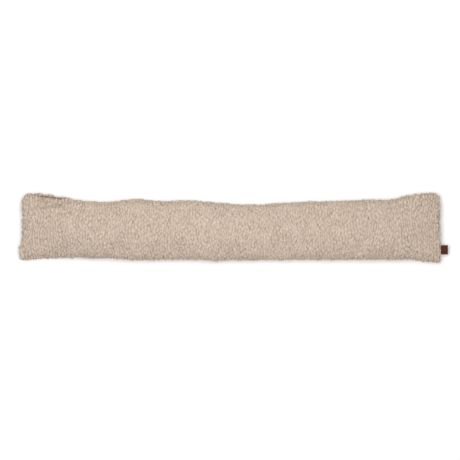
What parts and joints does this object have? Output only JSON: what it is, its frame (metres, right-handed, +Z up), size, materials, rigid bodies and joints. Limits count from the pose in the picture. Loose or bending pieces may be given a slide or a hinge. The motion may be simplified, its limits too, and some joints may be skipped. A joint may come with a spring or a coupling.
{
  "type": "draught excluder",
  "caption": "Long slim filled cushion of curly teddy cloth that lies along the foot of a door to stop draughts, with a small folded label in one end seam.",
  "frame": {"origin": "on the floor, under the middle of the whole object's box", "axes": "+X along the cushion, towards the end that holds the label; +Y towards its back edge; +Z up from the floor it lies on"},
  "size_m": [0.92, 0.1498, 0.0745],
  "materials": {
    "cover": "beige curly teddy cloth, matt",
    "label": "dark brown leatherette, satin"
  },
  "bodies": {
    "root": {"filled_cover": "cover", "side_label": "label"}
  },
  "joints": []
}
